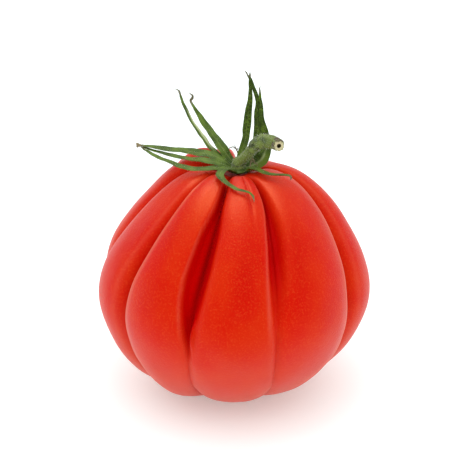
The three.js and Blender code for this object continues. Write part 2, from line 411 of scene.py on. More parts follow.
def face_outwards(piece: bpy.types.Object) -> None:
    """Turns all faces of a closed piece outwards and shades it smooth.

    Args:
        piece: the object.
    """
    select_only(piece)
    bpy.ops.object.mode_set(mode="EDIT")
    bpy.ops.mesh.select_all(action="SELECT")
    bpy.ops.mesh.normals_make_consistent(inside=False)
    bpy.ops.object.mode_set(mode="OBJECT")
    bpy.ops.object.shade_smooth()


def paint(piece: bpy.types.Object, name: str, values: np.ndarray) -> None:
    """Stores one number for each vertex, for the finish to read.

    Args:
        piece: the object that holds them.
        name: the attribute's name.
        values: one number for each vertex.
    """
    attribute = piece.data.attributes.new(name=name, type="FLOAT", domain="POINT")
    attribute.data.foreach_set("value", values.astype(np.float32))


@dataclass
class Route:
    """A smooth way through points in space, read by the share of its length.

    Attributes:
        points: the points it passes, in millimetres.
        samples: how finely it is measured.
        length: its whole length.
    """

    points: Sequence[Sequence[float]]
    samples: int = 400
    _share: np.ndarray = field(init=False, repr=False)
    _line: np.ndarray = field(init=False, repr=False)
    length: float = field(init=False)

    def __post_init__(self) -> None:
        """Measures the route."""
        table = np.asarray(self.points, float)
        first = 2 * table[0] - table[1]
        last = 2 * table[-1] - table[-2]
        table = np.vstack([first, table, last])
        pieces = len(table) - 3
        place = np.linspace(0, pieces, self.samples)
        low = np.minimum(place.astype(int), pieces - 1)
        t = (place - low)[:, None]
        a, b, c, d = (table[low + step] for step in range(4))
        gaps = np.linalg.norm(np.diff(table, axis=0), axis=1) ** 0.5
        before, here, after = (gaps[low + step][:, None] for step in range(3))
        leave = ((b - a) / before - (c - a) / (before + here) + (c - b) / here) * here
        arrive = ((c - b) / here - (d - b) / (here + after) + (d - c) / after) * here
        cubic = 2 * b - 2 * c + leave + arrive
        square = -3 * b + 3 * c - 2 * leave - arrive
        self._line = ((cubic * t + square) * t + leave) * t + b
        steps = np.linalg.norm(np.diff(self._line, axis=0), axis=1)
        travelled = np.concatenate([[0], np.cumsum(steps)])
        self.length = float(travelled[-1])
        self._share = travelled / self.length

    def at(self, share: np.ndarray) -> tuple[np.ndarray, np.ndarray]:
        """Points and directions of the route.

        Args:
            share: shares of its length, from 0 to 1.

        Returns:
            The points, and unit vectors along the route there.
        """
        def read(where: np.ndarray) -> np.ndarray:
            """The line's points at shares of its length."""
            columns = [np.interp(where, self._share, self._line[:, axis]) for axis in AXES]
            return np.stack(columns, -1)

        step = 0.004
        ahead = read(np.clip(share + step, 0, 1))
        behind = read(np.clip(share - step, 0, 1))
        along = ahead - behind
        along /= np.linalg.norm(along, axis=1)[:, None]
        return read(share), along


def frames(along: np.ndarray, face: np.ndarray) -> tuple[np.ndarray, np.ndarray]:
    """The two directions of a section that stands square on a route.

    Args:
        along: unit vectors along the route.
        face: the way that the section should look, one for each.

    Returns:
        Unit vectors across the section, and out of its face.
    """
    side = np.cross(along, face)
    side /= np.linalg.norm(side, axis=1)[:, None]
    return side, np.cross(side, along)


def round_section(
    centre: np.ndarray, sides: tuple[np.ndarray, np.ndarray], radius: np.ndarray, angle: np.ndarray
) -> np.ndarray:
    """Points on round sections that stand square on a route.

    Args:
        centre: the sections' middles.
        sides: unit vectors across each section, and out of its face.
        radius: each point's distance from the middle.
        angle: each point's angle round it.

    Returns:
        The points.
    """
    across = sides[0] * (radius * np.sin(angle))[:, None]
    outwards = sides[1] * (radius * np.cos(angle))[:, None]
    return centre + across + outwards


@dataclass(frozen=True)
class Relief:
    """The small dents, folds and edges of the skin, as pushes outwards in millimetres.

    Attributes:
        wrap: radius, and rise for each station, that the pattern of dents is laid out with.
        dents: size and height of the broad dents.
        dimples: size, height and seed of the small ones.
        dented: stations over which the dents come in and go out.
        crease: depth and width of the crease on top of the front lobe.
        crease_middle: its middle across the lobe at station 0, and how much each station takes off.
        crease_station: its middle and spread along the crest.
        band: station of the slanting band below which the front lobe swells, and its slant.
        band_swell: place and spread of the swelling, counted from the band.
        band_dip: depth and spread of the band itself.
        band_across: middle and spread of the band across the lobe.
        fold: height of the thin fold along the bottom of the shallower front pleat.
        fold_sides: its middle and spread, seen from the front lobe and from the right one.
        fold_span: stations over which it comes in and goes out.
        bead: height of the raised edges where the side lobes turn down into the outer pleats.
        bead_across: their places on the right and the left lobe.
        bead_width: their spread, and how far they lie further in at the foot.
        bead_foot: stations over which they move in.
        bead_span: stations over which they come in and go out.
        scar_rings: depth, station and spread of the two grooves at the blossom end.
    """

    wrap: Pair = (25, 4)
    dents: Pair = (9.0, 0.35)
    dimples: tuple[float, float, float] = (3.4, 0.12, 5.0)
    dented: tuple[Pair, Pair] = ((2, 3.5), (11.5, 13))
    crease: Pair = (0.7, 0.07)
    crease_middle: Pair = (0.88, 0.06)
    crease_station: Pair = (10.2, 1.0)
    band: Pair = (6.7, 0.35)
    band_swell: Pair = (-0.75, 0.5)
    band_dip: Pair = (0.7, 0.28)
    band_across: Pair = (0.1, 0.45)
    fold: float = 0.7
    fold_sides: tuple[Pair, Pair] = ((1.05, 0.06), (-0.96, 0.05))
    fold_span: tuple[Pair, Pair] = ((6.4, 7.4), (9.4, 10.2))
    bead: float = 0.4
    bead_across: Pair = (0.75, -0.80)
    bead_width: float = 0.05
    bead_foot: Pair = (6, 5)
    bead_span: tuple[Pair, Pair] = ((4, 5.5), (9.8, 11.2))
    scar_rings: tuple[tuple[float, float, float], ...] = ((0.45, 0.42, 0.14), (0.2, 0.75, 0.1))

    def at(
        self, lobe: np.ndarray, station: np.ndarray, across: np.ndarray, azimuth: np.ndarray
    ) -> np.ndarray:
        """The whole relief at places of the skin.

        Args:
            lobe: each place's lobe.
            station: its place along the crest.
            across: its place across the lobe.
            azimuth: its angle round the fruit.

        Returns:
            How far the skin is pushed outwards there.
        """
        front = np.where(lobe == FRONT_LOBE, self.on_front(station, across), 0)
        front = front + self.fold * self.fold_line(lobe, across) * window(station, *self.fold_span)
        front = front + SHORT_RIDGE.at(lobe, station, across)
        front = front + self.bead * self.bead_line(lobe, station, across)
        scar = -sum(depth * bump(station, *ring) for depth, *ring in self.scar_rings)
        return self.dented_skin(station, azimuth) + front + scar

    def dented_skin(self, station: np.ndarray, azimuth: np.ndarray) -> np.ndarray:
        """The dents, which are laid out round the fruit and leave its two ends free.

        Args:
            station: each place's station.
            azimuth: its angle round the fruit.

        Returns:
            The dents' heights.
        """
        radius, rise = self.wrap
        places = np.stack([radius * np.sin(azimuth), -radius * np.cos(azimuth), rise * station], -1)
        size, height = self.dents
        small, low, seed = self.dimples
        heights = height * speckle(places, size) + low * speckle(places, small, seed)
        return heights * window(station, *self.dented)

    def on_front(self, station: np.ndarray, across: np.ndarray) -> np.ndarray:
        """The crease and the slanting band of the lobe that faces the front.

        Args:
            station: each place's station.
            across: its place across the lobe.

        Returns:
            Their heights.
        """
        depth, width = self.crease
        middle = self.crease_middle[0] - self.crease_middle[1] * station
        crease = -depth * bump(across, middle, width) * bump(station, *self.crease_station)
        band = station - self.band[0] + self.band[1] * across
        swell = bump(band, *self.band_swell) - self.band_dip[0] * bump(band, 0.0, self.band_dip[1])
        return crease + swell * bump(across, *self.band_across)

    def fold_line(self, lobe: np.ndarray, across: np.ndarray) -> np.ndarray:
        """How near places are to the fold at the bottom of the shallower front pleat."""
        front, right = self.fold_sides
        left_side = np.where(lobe == FRONT_LOBE, bump(across, *front), 0)
        return left_side + np.where(lobe == RIGHT_LOBE, bump(across, *right), 0)

    def bead_line(self, lobe: np.ndarray, station: np.ndarray, across: np.ndarray) -> np.ndarray:
        """How near places are to the raised edges of the two side lobes.

        Args:
            lobe: each place's lobe.
            station: its place along the crest.
            across: its place across the lobe.

        Returns:
            From 0 away from the edges to 1 on them.
        """
        inwards = self.bead_width * ease(station, *self.bead_foot)
        right = (lobe == RIGHT_LOBE) * bump(across, self.bead_across[0] - inwards, self.bead_width)
        left = (lobe == LEFT_LOBE) * bump(across, self.bead_across[1] + inwards, self.bead_width)
        return (right + left) * window(station, *self.bead_span)


@dataclass
class Fruit:
    """The ribbed fruit: a lathe of its crest with ten lobes and pleats.

    Attributes:
        columns: columns of faces across one lobe.
        rows: rows of faces between two stations of the crest.
        roundness: share of a pleat's depth that the whole lobe curves away by.
        darkest: depth of a pleat at which its painted shade is deepest.
        red_end: stations over which the painted shade of the pleats ends at the top.
        core_width: how wide the painted dark line at the bottom of a pleat is.
        rim_highlight_depth: how far down a wall its painted highlight lies, and how far it spreads.
        rim_highlight_tone: how pale that painted highlight is.
        rim_highlight_span: stations over which the painted highlights come in and go out.
        front_rim_highlight_start: stations over which the painted highlights of the two front
            pleats come in.
        bead_highlight_tone: how pale the painted highlight on the raised edges is.
        floor_reflection_tone: how pale the foot is painted, a painted reflection of the pale floor.
        floor_reflection_end: stations over which that painted reflection ends.
        scar_edge: stations over which the cork of the blossom end ends.
        relief: the small forms of the skin.
    """

    columns: int = 52
    rows: int = 11
    roundness: float = 0.35
    # painted shade in the pleats and along their bottoms
    darkest: float = 7.0
    red_end: Pair = (10.6, 11.6)
    core_width: float = 0.16
    # painted highlights along the edges of the pleats' walls and on the raised edges
    rim_highlight_depth: Pair = (0.07, 0.9)
    rim_highlight_tone: float = 0.5
    rim_highlight_span: tuple[Pair, Pair] = ((3, 4.5), (10, 11.5))
    front_rim_highlight_start: Pair = (5.8, 6.8)
    bead_highlight_tone: float = 0.75
    # painted reflection of the pale floor on the foot
    floor_reflection_tone: float = 0.5
    floor_reflection_end: Pair = (3.0, 6.8)
    scar_edge: Pair = (0.62, 0.86)
    relief: Relief = Relief()

    def skin_points(self, lobe: np.ndarray, station: np.ndarray, across: np.ndarray) -> np.ndarray:
        """Points of the skin.

        Args:
            lobe: each point's lobe.
            station: its place along the crest.
            across: its place across the lobe, from -1 to 1.

        Returns:
            The points, in millimetres.
        """
        after = (lobe + 1) % len(PLEATS)
        turn = np.where(after == 0, 360, 0)
        start = self.azimuth_of(lobe, station)
        end = self.azimuth_of(after, station) + turn
        azimuth = np.radians((start + end) / 2 + (end - start) / 2 * across)
        crest, slope = spline(CREST, station)
        slope = slope[:, :2] / (np.linalg.norm(slope[:, :2], axis=1)[:, None] + TINY)
        push = self.swell(lobe, station) * (1 - across**2) - self.groove(lobe, station, across)
        push += self.relief.at(lobe, station, across, azimuth)
        rise = values(LOBES, "lip", lobe) * window(station, LIP_RISE, LIP_FALL) * (1 - across**2)
        radius = np.maximum(crest[:, 0] + push * slope[:, 1], 0)
        height = np.maximum(crest[:, 1] - push * slope[:, 0] + rise, 0)
        return np.stack([radius * np.sin(azimuth), -radius * np.cos(azimuth), height], -1)

    def azimuth_of(self, pleat: np.ndarray, station: np.ndarray) -> np.ndarray:
        """Where pleats run.

        Args:
            pleat: each place's pleat.
            station: its place along the crest.

        Returns:
            The pleat's azimuth there, in degrees.
        """
        foot, belly, lip = (values(PLEATS, name, pleat) for name in ("foot", "belly", "lip"))
        lower = 1 - ease(station, *FOOT_TURN)
        return belly + (foot - belly) * lower + (lip - belly) * ease(station, BELLY, LIP)

    def swell(self, lobe: np.ndarray, station: np.ndarray) -> np.ndarray:
        """How far the middle of a lobe stands out past the crest.

        Args:
            lobe: each place's lobe.
            station: its place along the crest.

        Returns:
            The lobe's height over the crest, in millimetres.
        """
        heights = [values(LOBES, name, lobe) * bump(station, *place) for name, place in SWELLS]
        return sum(heights)

    def nearer(self, lobe: np.ndarray, across: np.ndarray) -> np.ndarray:
        """The number of the pleat on the nearer side of each place."""
        return np.where(across < 0, lobe, (lobe + 1) % len(PLEATS))

    def side_value(self, name: str, near: np.ndarray, across: np.ndarray) -> np.ndarray:
        """What the nearer pleat states under a name for the wall on each place's side."""
        pairs = values(PLEATS, name, near)
        return np.where(across < 0, pairs[:, 1], pairs[:, 0])

    def pleat_walls(
        self, lobe: np.ndarray, station: np.ndarray, across: np.ndarray
    ) -> tuple[np.ndarray, np.ndarray]:
        """The pleat on the nearer side of each place.

        Args:
            lobe: each place's lobe.
            station: its place along the crest.
            across: its place across the lobe.

        Returns:
            The pleat's depth, and how far down its wall the place lies, from 0 to 1.
        """
        near = self.nearer(lobe, across)
        depth = np.maximum(spline(CREST, station)[0][:, 2], 0)
        for index, pleat in enumerate(PLEATS):
            mine = near == index
            depth[mine] *= np.interp(station[mine], DEPTH_STATIONS, pleat.depth)
        steepness = self.side_value("walls", near, across)
        floor = self.side_value("floors", near, across)
        floor *= ease(station, *FLOOR_START) * (1 - FLOOR_NARROWING * ease(station, *FLOOR_END))
        wall = self.level_out((np.abs(across) / (1 - floor)) ** steepness)
        wall /= self.level_out((1 / (1 - floor)) ** steepness)
        return depth, wall

    def level_out(self, power: np.ndarray) -> np.ndarray:
        """A wall's depth, which levels out towards 1 where the pleat's floor begins."""
        return power / (1 + power**3) ** (1 / 3)

    def groove(self, lobe: np.ndarray, station: np.ndarray, across: np.ndarray) -> np.ndarray:
        """How far the pleat on the nearer side draws the skin in."""
        depth, wall = self.pleat_walls(lobe, station, across)
        return depth * (self.roundness * across**2 + (1 - self.roundness) * wall)

    def paint_pleats(
        self, piece: bpy.types.Object, lobe: np.ndarray, station: np.ndarray, across: np.ndarray
    ) -> None:
        """Stores the painted shade of the pleats and of their darkest lines, and the painted
        highlights along the rim of each wall.

        Args:
            piece: the fruit.
            lobe: each vertex's lobe.
            station: its place along the crest.
            across: its place across the lobe.
        """
        depth, wall = self.pleat_walls(lobe, station, across)
        near = self.nearer(lobe, across)
        # painted shade: the red deepens down the walls of each pleat, and the shade fades out at the
        # top
        shade = values(PLEATS, "shade", near) * (1 - ease(station, *self.red_end))
        paint(piece, "pleat", np.clip(shade * depth * wall / self.darkest, 0, 1))
        # painted highlight: a pale line along the edge of each pleat's wall, and on the raised edges
        rim_highlight_depth, rim_spread = self.rim_highlight_depth
        rim = self.side_value("rim_highlights", near, across)
        rim *= bump(np.log(wall + RIM_FLOOR), math.log(rim_highlight_depth), rim_spread)
        floored = np.any(values(PLEATS, "floors", near) != 0, axis=1)
        rim *= np.where(floored, ease(station, *self.front_rim_highlight_start), 1)
        rim *= self.rim_highlight_tone * window(station, *self.rim_highlight_span)
        bead = self.bead_highlight_tone * self.relief.bead_line(lobe, station, across)
        paint(piece, "rim", np.maximum(rim, bead))
        # painted shade: the darkest line along the bottom of each pleat
        line = bump(np.abs(across), 1, self.core_width) * wall * depth / self.darkest
        paint(piece, "core", np.clip(shade * line, 0, 1) ** 2)

    def paint_spots(
        self, piece: bpy.types.Object, lobe: np.ndarray, station: np.ndarray, across: np.ndarray
    ) -> None:
        """Stores where the painted reflection of the floor on the foot, the corky end and the riper
        spots are.

        Args:
            piece: the fruit.
            lobe: each vertex's lobe.
            station: its place along the crest.
            across: its place across the lobe.
        """
        # painted reflection: the foot is painted paler and pinker, as the pale floor would light it
        paint(piece, "foot", self.floor_reflection_tone * (1 - ease(station, *self.floor_reflection_end)))
        paint(piece, "scar", 1 - ease(station, *self.scar_edge))
        paint(piece, "tinge", ORANGE_SPOT.at(lobe, station, across))
        ripe = sum(spot.at(lobe, station, across) for spot in RIPE_SPOTS)
        paint(piece, "ripe", np.clip(ripe, 0, 1))

    def build(self) -> bpy.types.Object:
        """Makes the fruit's skin.

        Returns:
            The finished object, which stands for the CAD fruit.
        """
        around = self.columns * len(PLEATS)
        piece, angle, row = ball("fruit_skin", around, self.rows * LAST_STATION)
        column = np.round(angle / math.tau * around).astype(int) % around
        lobe = column // self.columns
        across = np.sin(((column % self.columns) / self.columns - 0.5) * math.pi)
        station = row / self.rows
        move_points(piece, self.skin_points(lobe, station, across))
        face_outwards(piece)
        self.paint_pleats(piece, lobe, station, across)
        self.paint_spots(piece, lobe, station, across)
        piece.data.materials.append(SkinFinish().build())
        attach(piece, BODY)
        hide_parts("fruit")
        return piece


class Nodes:
    """The nodes of one material or group, with short ways to add and join them."""

    def __init__(self, tree: bpy.types.NodeTree) -> None:
        """Keeps the tree that nodes are added to."""
        self.tree = tree

    def add(self, kind: str, **values: object) -> bpy.types.Node:
        """Adds a node.

        Args:
            kind: the node's type, without the ShaderNode in front.
            values: settings of the node.

        Returns:
            The new node.
        """
        node = self.tree.nodes.new("ShaderNode" + kind)
        for name, value in values.items():
            setattr(node, name, value)
        return node

    def join(self, source: bpy.types.NodeSocket, target: bpy.types.NodeSocket) -> None:
        """Joins an output to an input."""
        self.tree.links.new(source, target)

    def attribute(self, name: str) -> bpy.types.NodeSocket:
        """Reads a number that is stored on the mesh."""
        return self.add("Attribute", attribute_name=name).outputs["Fac"]

    def ramp(self, source: bpy.types.NodeSocket, low: float, high: float) -> bpy.types.NodeSocket:
        """Stretches a value.

        Args:
            source: the value.
            low: what becomes 0.
            high: what becomes 1.

        Returns:
            The stretched value, kept between 0 and 1.
        """
        node = self.add("MapRange", interpolation_type="SMOOTHSTEP")
        node.inputs["From Min"].default_value = low
        node.inputs["From Max"].default_value = high
        self.join(source, node.inputs["Value"])
        return node.outputs["Result"]

    def math(
        self, operation: str, first: bpy.types.NodeSocket, second: bpy.types.NodeSocket | float
    ) -> bpy.types.NodeSocket:
        """A sum, product or the like of two values.

        Args:
            operation: what is done with them.
            first: the first value.
            second: the second, or a number.

        Returns:
            The result.
        """
        node = self.add("Math", operation=operation)
        self.join(first, node.inputs[0])
        if isinstance(second, bpy.types.NodeSocket):
            self.join(second, node.inputs[1])
        else:
            node.inputs[1].default_value = second
        return node.outputs[0]

    def mix(
        self,
        share: bpy.types.NodeSocket,
        first: bpy.types.NodeSocket | Colour,
        second: bpy.types.NodeSocket | Colour,
    ) -> bpy.types.NodeSocket:
        """Mixes two colours.

        Args:
            share: how much of the second there is.
            first: a colour, or where one comes from.
            second: the other colour.

        Returns:
            The mixed colour.
        """
        node = self.add("Mix", data_type="RGBA")
        self.join(share, node.inputs[0])
        for socket, colour in ((node.inputs[6], first), (node.inputs[7], second)):
            if isinstance(colour, bpy.types.NodeSocket):
                self.join(colour, socket)
            else:
                socket.default_value = (*colour, 1)
        return node.outputs[2]


def grain_group() -> bpy.types.NodeTree:
    """The fine grain of living skin, as a group that every finish places with its own values.

    Returns:
        The group: Vector, Patch Scale and Grain Scale go in, and Patches and Grain come out.
    """
    name = "living_grain"
    if name in bpy.data.node_groups:
        return bpy.data.node_groups[name]
    tree = bpy.data.node_groups.new(name, "ShaderNodeTree")
    tree.interface.new_socket("Vector", in_out="INPUT", socket_type="NodeSocketVector")
    tree.interface.new_socket("Patch Scale", in_out="INPUT", socket_type="NodeSocketFloat")
    tree.interface.new_socket("Grain Scale", in_out="INPUT", socket_type="NodeSocketFloat")
    tree.interface.new_socket("Patches", in_out="OUTPUT", socket_type="NodeSocketFloat")
    tree.interface.new_socket("Grain", in_out="OUTPUT", socket_type="NodeSocketFloat")
    nodes = Nodes(tree)
    source = tree.nodes.new("NodeGroupInput")
    result = tree.nodes.new("NodeGroupOutput")
    patches = nodes.add("TexNoise")
    patches.inputs["Detail"].default_value = 3.0
    grain = nodes.add("TexNoise")
    grain.inputs["Detail"].default_value = 4.0
    grain.inputs["Roughness"].default_value = 0.65
    for texture, scale in ((patches, "Patch Scale"), (grain, "Grain Scale")):
        nodes.join(source.outputs["Vector"], texture.inputs["Vector"])
        nodes.join(source.outputs[scale], texture.inputs["Scale"])
    nodes.join(patches.outputs["Fac"], result.inputs["Patches"])
    nodes.join(grain.outputs["Fac"], result.inputs["Grain"])
    return tree


def new_finish(name: str) -> tuple[bpy.types.Material, Nodes, bpy.types.Node]:
    """A material with its Principled shader.

    Args:
        name: the material's name.

    Returns:
        The material, its nodes and the shader.
    """
    material = bpy.data.materials.new(name)
    material.use_nodes = True
    nodes = Nodes(material.node_tree)
    return material, nodes, material.node_tree.nodes["Principled BSDF"]


def place_grain(nodes: Nodes, patch_scale: float, grain_scale: float) -> bpy.types.Node:
    """Places the grain group in a finish, on the object's own coordinates.

    Args:
        nodes: the finish's nodes.
        patch_scale: how many features its patches have in a metre.
        grain_scale: how many its grain has.

    Returns:
        The group's node.
    """
    group = nodes.add("Group", node_tree=grain_group())
    group.inputs["Patch Scale"].default_value = patch_scale
    group.inputs["Grain Scale"].default_value = grain_scale
    where = nodes.add("TexCoord").outputs["Object"]
    nodes.join(where, group.inputs["Vector"])
    return group


def add_bump(
    nodes: Nodes, shader: bpy.types.Node, height: bpy.types.NodeSocket, depth: float
) -> None:
    """Feeds a height to the shader's normal.

    Args:
        nodes: the finish's nodes.
        shader: its Principled shader.
        height: the height, from 0 to 1.
        depth: what a height of 1 measures, in metres.
    """
    node = nodes.add("Bump")
    node.inputs["Distance"].default_value = depth
    nodes.join(height, node.inputs["Height"])
    nodes.join(node.outputs["Normal"], shader.inputs["Normal"])


@dataclass(frozen=True)
class Surface:
    """What the living finishes share: their grain, and how rough and glossy they are.

    Attributes:
        patch_scale: how many features the grain's patches have in a metre.
        grain_scale: how many the fine grain has.
        grain_depth: how deep the fine grain is, in metres.
        patches: the values of the patches between which the finish goes from one tone to the other.
        specks: the values of the fine grain over which its specks come in.
        roughness: how rough the surface is.
        ior: its index of refraction.
    """

    patch_scale: float = 300.0
    grain_scale: float = 1500.0
    grain_depth: float = 0.0001
    patches: Pair = (0.35, 0.65)
    specks: Pair = (0.44, 0.58)
    roughness: float = 0.6
    ior: float = 1.3

    def start(self, name: str) -> tuple[bpy.types.Material, Nodes, bpy.types.Node, bpy.types.Node]:
        """Begins a material with its even values and its grain.

        Args:
            name: the material's name.

        Returns:
            The material, its nodes, its shader and its grain.
        """
        material, nodes, shader = new_finish(name)
        grain = place_grain(nodes, self.patch_scale, self.grain_scale)
        shader.inputs["Roughness"].default_value = self.roughness
        shader.inputs["IOR"].default_value = self.ior
        if self.grain_depth > 0:
            add_bump(nodes, shader, grain.outputs["Grain"], self.grain_depth)
        return material, nodes, shader, grain


@dataclass(frozen=True)
class SkinFinish(Surface):
    """The fruit's taut red skin.

    Attributes:
        red, orange: the tones of its patches.
        speck: its fine specks, and speck_share says how far they show.
        tinge: the orange spot on the left lobe.
        pale: the painted reflection of the pale floor on the skin near the foot.
        ripe: the riper spots.
        deep: the painted shade in the pleats, and core the painted darkest line
            in them.
        pleat: the values of the mask over which the painted shade of a pleat deepens.
        edge: the painted highlight along the edges of the pleats' walls and on the raised edges.
        gloss, shaded_gloss: the tint of the gloss, outside the pleats and, dimmed as painted
        shade, inside them.
        cork: the scar at the blossom end.
        rough_span: how rough it is where the grain is low and high.
        glow: weight and depth of the light that comes out of the flesh, in metres.
        glow_reach: how far each colour of that light gets.
    """

    patch_scale: float = 75.0
    grain_scale: float = 1700.0
    grain_depth: float = 0.00011
    patches: Pair = (0.36, 0.66)
    specks: Pair = (0.48, 0.68)
    ior: float = 1.36
    red: Colour = (0.60, 0.0025, 0.0003)
    orange: Colour = (0.62, 0.014, 0.0006)
    speck: Colour = (0.70, 0.058, 0.010)
    speck_share: float = 0.40
    tinge: Colour = (0.66, 0.085, 0.004)
    # painted reflection of the pale floor on the foot
    pale: Colour = (0.64, 0.130, 0.080)
    ripe: Colour = (0.56, 0.0006, 0.0002)
    # painted shade in the pleats and along their bottoms
    deep: Colour = (0.55, 0.0004, 0.0003)
    core: Colour = (0.30, 0.0004, 0.0003)
    pleat: Pair = (0.06, 0.62)
    # painted highlight on the edges of the pleats' walls and the raised edges
    edge: Colour = (0.72, 0.16, 0.10)
    gloss: Colour = (0.9, 0.32, 0.10)
    # the gloss tint inside the pleats, dimmed as painted shade
    shaded_gloss: Colour = (0.05, 0.0, 0.0)
    cork: Colour = (0.30, 0.16, 0.07)
    rough_span: Pair = (0.31, 0.46)
    glow: Pair = (0.12, 0.003)
    glow_reach: Colour = (1.0, 0.25, 0.1)

    def build(self) -> bpy.types.Material:
        """Makes the material.

        Returns:
            The fruit's material.
        """
        material, nodes, shader, grain = self.start("tomato_skin")
        patches = nodes.ramp(grain.outputs["Patches"], *self.patches)
        colour = nodes.mix(patches, self.red, self.orange)
        colour = nodes.mix(nodes.attribute("ripe"), colour, self.ripe)
        specks = nodes.ramp(grain.outputs["Grain"], *self.specks)
        colour = nodes.mix(nodes.math("MULTIPLY", specks, self.speck_share), colour, self.speck)
        pleat = nodes.ramp(nodes.attribute("pleat"), *self.pleat)
        layers = (
            (nodes.attribute("tinge"), self.tinge),
            # painted reflection of the floor on the foot
            (nodes.attribute("foot"), self.pale),
            # painted shade in the pleats and along their bottoms
            (pleat, self.deep),
            (nodes.attribute("core"), self.core),
            # painted highlight on the edges of the pleats' walls and the raised edges
            (nodes.attribute("rim"), self.edge),
            (nodes.attribute("scar"), self.cork),
        )
        for mask, tone in layers:
            colour = nodes.mix(mask, colour, tone)
        nodes.join(colour, shader.inputs["Base Color"])
        rough = nodes.add("MapRange")
        rough.inputs["To Min"].default_value = self.rough_span[0]
        rough.inputs["To Max"].default_value = self.rough_span[1]
        nodes.join(grain.outputs["Grain"], rough.inputs["Value"])
        nodes.join(rough.outputs["Result"], shader.inputs["Roughness"])
        # painted shade: the gloss is dimmed in the pleats
        nodes.join(nodes.mix(pleat, self.gloss, self.shaded_gloss), shader.inputs["Specular Tint"])
        shader.inputs["Subsurface Weight"].default_value = self.glow[0]
        shader.inputs["Subsurface Scale"].default_value = self.glow[1]
        shader.inputs["Subsurface Radius"].default_value = self.glow_reach
        return material


@dataclass(frozen=True)
class LeafFinish(Surface):
    """The matt green of the sepals, with a paler rib, pale edges and dried tips.

    Attributes:
        name: the material's name.
        green, dark: the tones of its patches.
        shadow: the dark mottle of the upright sepals, and the painted shadow of the stem on the left
            half of the broad sepal's root.
        rib: the rib, which shows over the values rib_span of its mask and by rib_share.
        light: the painted light on the right half of the broad sepal's root.
        inner: the pale margins.
        dry: the dried tips.
        gloss: the tint of its gloss.
    """

    name: str = "sepal_leaf"
    green: Colour = (0.092, 0.155, 0.014)
    dark: Colour = (0.034, 0.068, 0.005)
    # dark mottle, and the painted shadow of the stem on the broad sepal's root
    shadow: Colour = (0.022, 0.036, 0.004)
    rib: Colour = (0.26, 0.31, 0.09)
    rib_span: Pair = (0.2, 1.0)
    rib_share: float = 0.35
    # painted light on the right half of the broad sepal's root
    light: Colour = (0.120, 0.190, 0.020)
    inner: Colour = (0.50, 0.56, 0.30)
    dry: Colour = (0.13, 0.11, 0.065)
    gloss: Colour = (0.8, 1, 0.5)

    def build(self) -> bpy.types.Material:
        """Makes the material.

        Returns:
            The sepals' material.
        """
        material, nodes, shader, grain = self.start(self.name)
        patches = nodes.ramp(grain.outputs["Patches"], *self.patches)
        colour = nodes.mix(patches, self.dark, self.green)
        speck = nodes.ramp(grain.outputs["Grain"], *self.specks)
        # the dark mottle, with the stem's painted shadow on the broad sepal's root
        mottle = nodes.math("MULTIPLY", speck, nodes.attribute("shade"))
        rib = nodes.ramp(nodes.attribute("rib"), *self.rib_span)
        layers = (
            (mottle, self.shadow),
            (nodes.math("MULTIPLY", rib, self.rib_share), self.rib),
            # painted light on the broad sepal's root
            (nodes.attribute("light"), self.light),
            (nodes.attribute("pale"), self.inner),
            (nodes.attribute("dry"), self.dry),
        )
        for mask, tone in layers:
            colour = nodes.mix(mask, colour, tone)
        nodes.join(colour, shader.inputs["Base Color"])
        shader.inputs["Specular Tint"].default_value = (*self.gloss, 1)
        return material


DRIED = LeafFinish(name="dried_leaf", green=(0.26, 0.20, 0.115), dark=(0.13, 0.10, 0.055))


@dataclass(frozen=True)
class StemFinish(Surface):
    """The grey-green of the stem, and the pale ring of its cut end, with painted shade in its
    hole.

    Attributes:
        green, grey: the tones of its patches; the grey shows at the knee.
        cream: the ring of the cut end.
        hollow: the painted shade in the hole in it.
        brown: the burnt skin beside it.
    """

    patch_scale: float = 420.0
    grain_scale: float = 2400.0
    grain_depth: float = 0.00022
    patches: Pair = (0.35, 0.62)
    roughness: float = 0.7
    green: Colour = (0.17, 0.23, 0.05)
    grey: Colour = (0.055, 0.080, 0.030)
    cream: Colour = (0.62, 0.56, 0.33)
    # painted shade in the hole of the cut end
    hollow: Colour = (0.09, 0.07, 0.025)
    brown: Colour = (0.09, 0.06, 0.035)

    def build(self) -> bpy.types.Material:
        """Makes the material.

        Returns:
            The stem's material.
        """
        material, nodes, shader, grain = self.start("stem_bark")
        patches = nodes.ramp(grain.outputs["Patches"], *self.patches)
        grey_share = nodes.math("MULTIPLY", patches, nodes.attribute("knee"))
        colour = nodes.mix(grey_share, self.green, self.grey)
        # hollow is painted shade in the hole of the cut end
        for mask, tone in (("brown", self.brown), ("cream", self.cream), ("hollow", self.hollow)):
            colour = nodes.mix(nodes.attribute(mask), colour, tone)
        nodes.join(colour, shader.inputs["Base Color"])
        return material


@dataclass(frozen=True)
class DownFinish(Surface):
    """The colourless hairs of the sepals and the stem, in two tones."""

    patch_scale: float = 500.0
    grain_scale: float = 3000.0
    grain_depth: float = 0.0
    roughness: float = 0.5
    ior: float = 1.5
    green: Colour = (0.42, 0.46, 0.30)
    cream: Colour = (0.60, 0.62, 0.46)

    def build(self) -> bpy.types.Material:
        """Makes the material.

        Returns:
            The hairs' material.
        """
        material, nodes, shader, grain = self.start("plant_down")
        colour = nodes.mix(grain.outputs["Patches"], self.green, self.cream)
        nodes.join(colour, shader.inputs["Base Color"])
        return material


@dataclass(frozen=True)
class Sepal:
    """One blade of the calyx, from its root in the plate to its tip.

    Attributes:
        name: what it is called.
        face: the way that its inner face looks.
        widths: its widths at even steps.
        route: the points that its middle passes, with heights above the hollow.
        curl: how far its edges fold up to its inner face, as a share of its half width.
        dry: share of its length at which it starts to be dry.
        pale: how pale its right margin is.
        shade: how dark and mottled it is.
        lit_and_shaded_root: how strongly the right half of its root is painted lit, and its left
            half painted in the stem's shadow.
    """

    name: str
    face: Place
    widths: tuple[float, ...]
    route: tuple[Place, ...]
    curl: float = 0.35
    dry: float = 0.93
    pale: float = 0.0
    shade: float = 0.0
    lit_and_shaded_root: float = 0.0


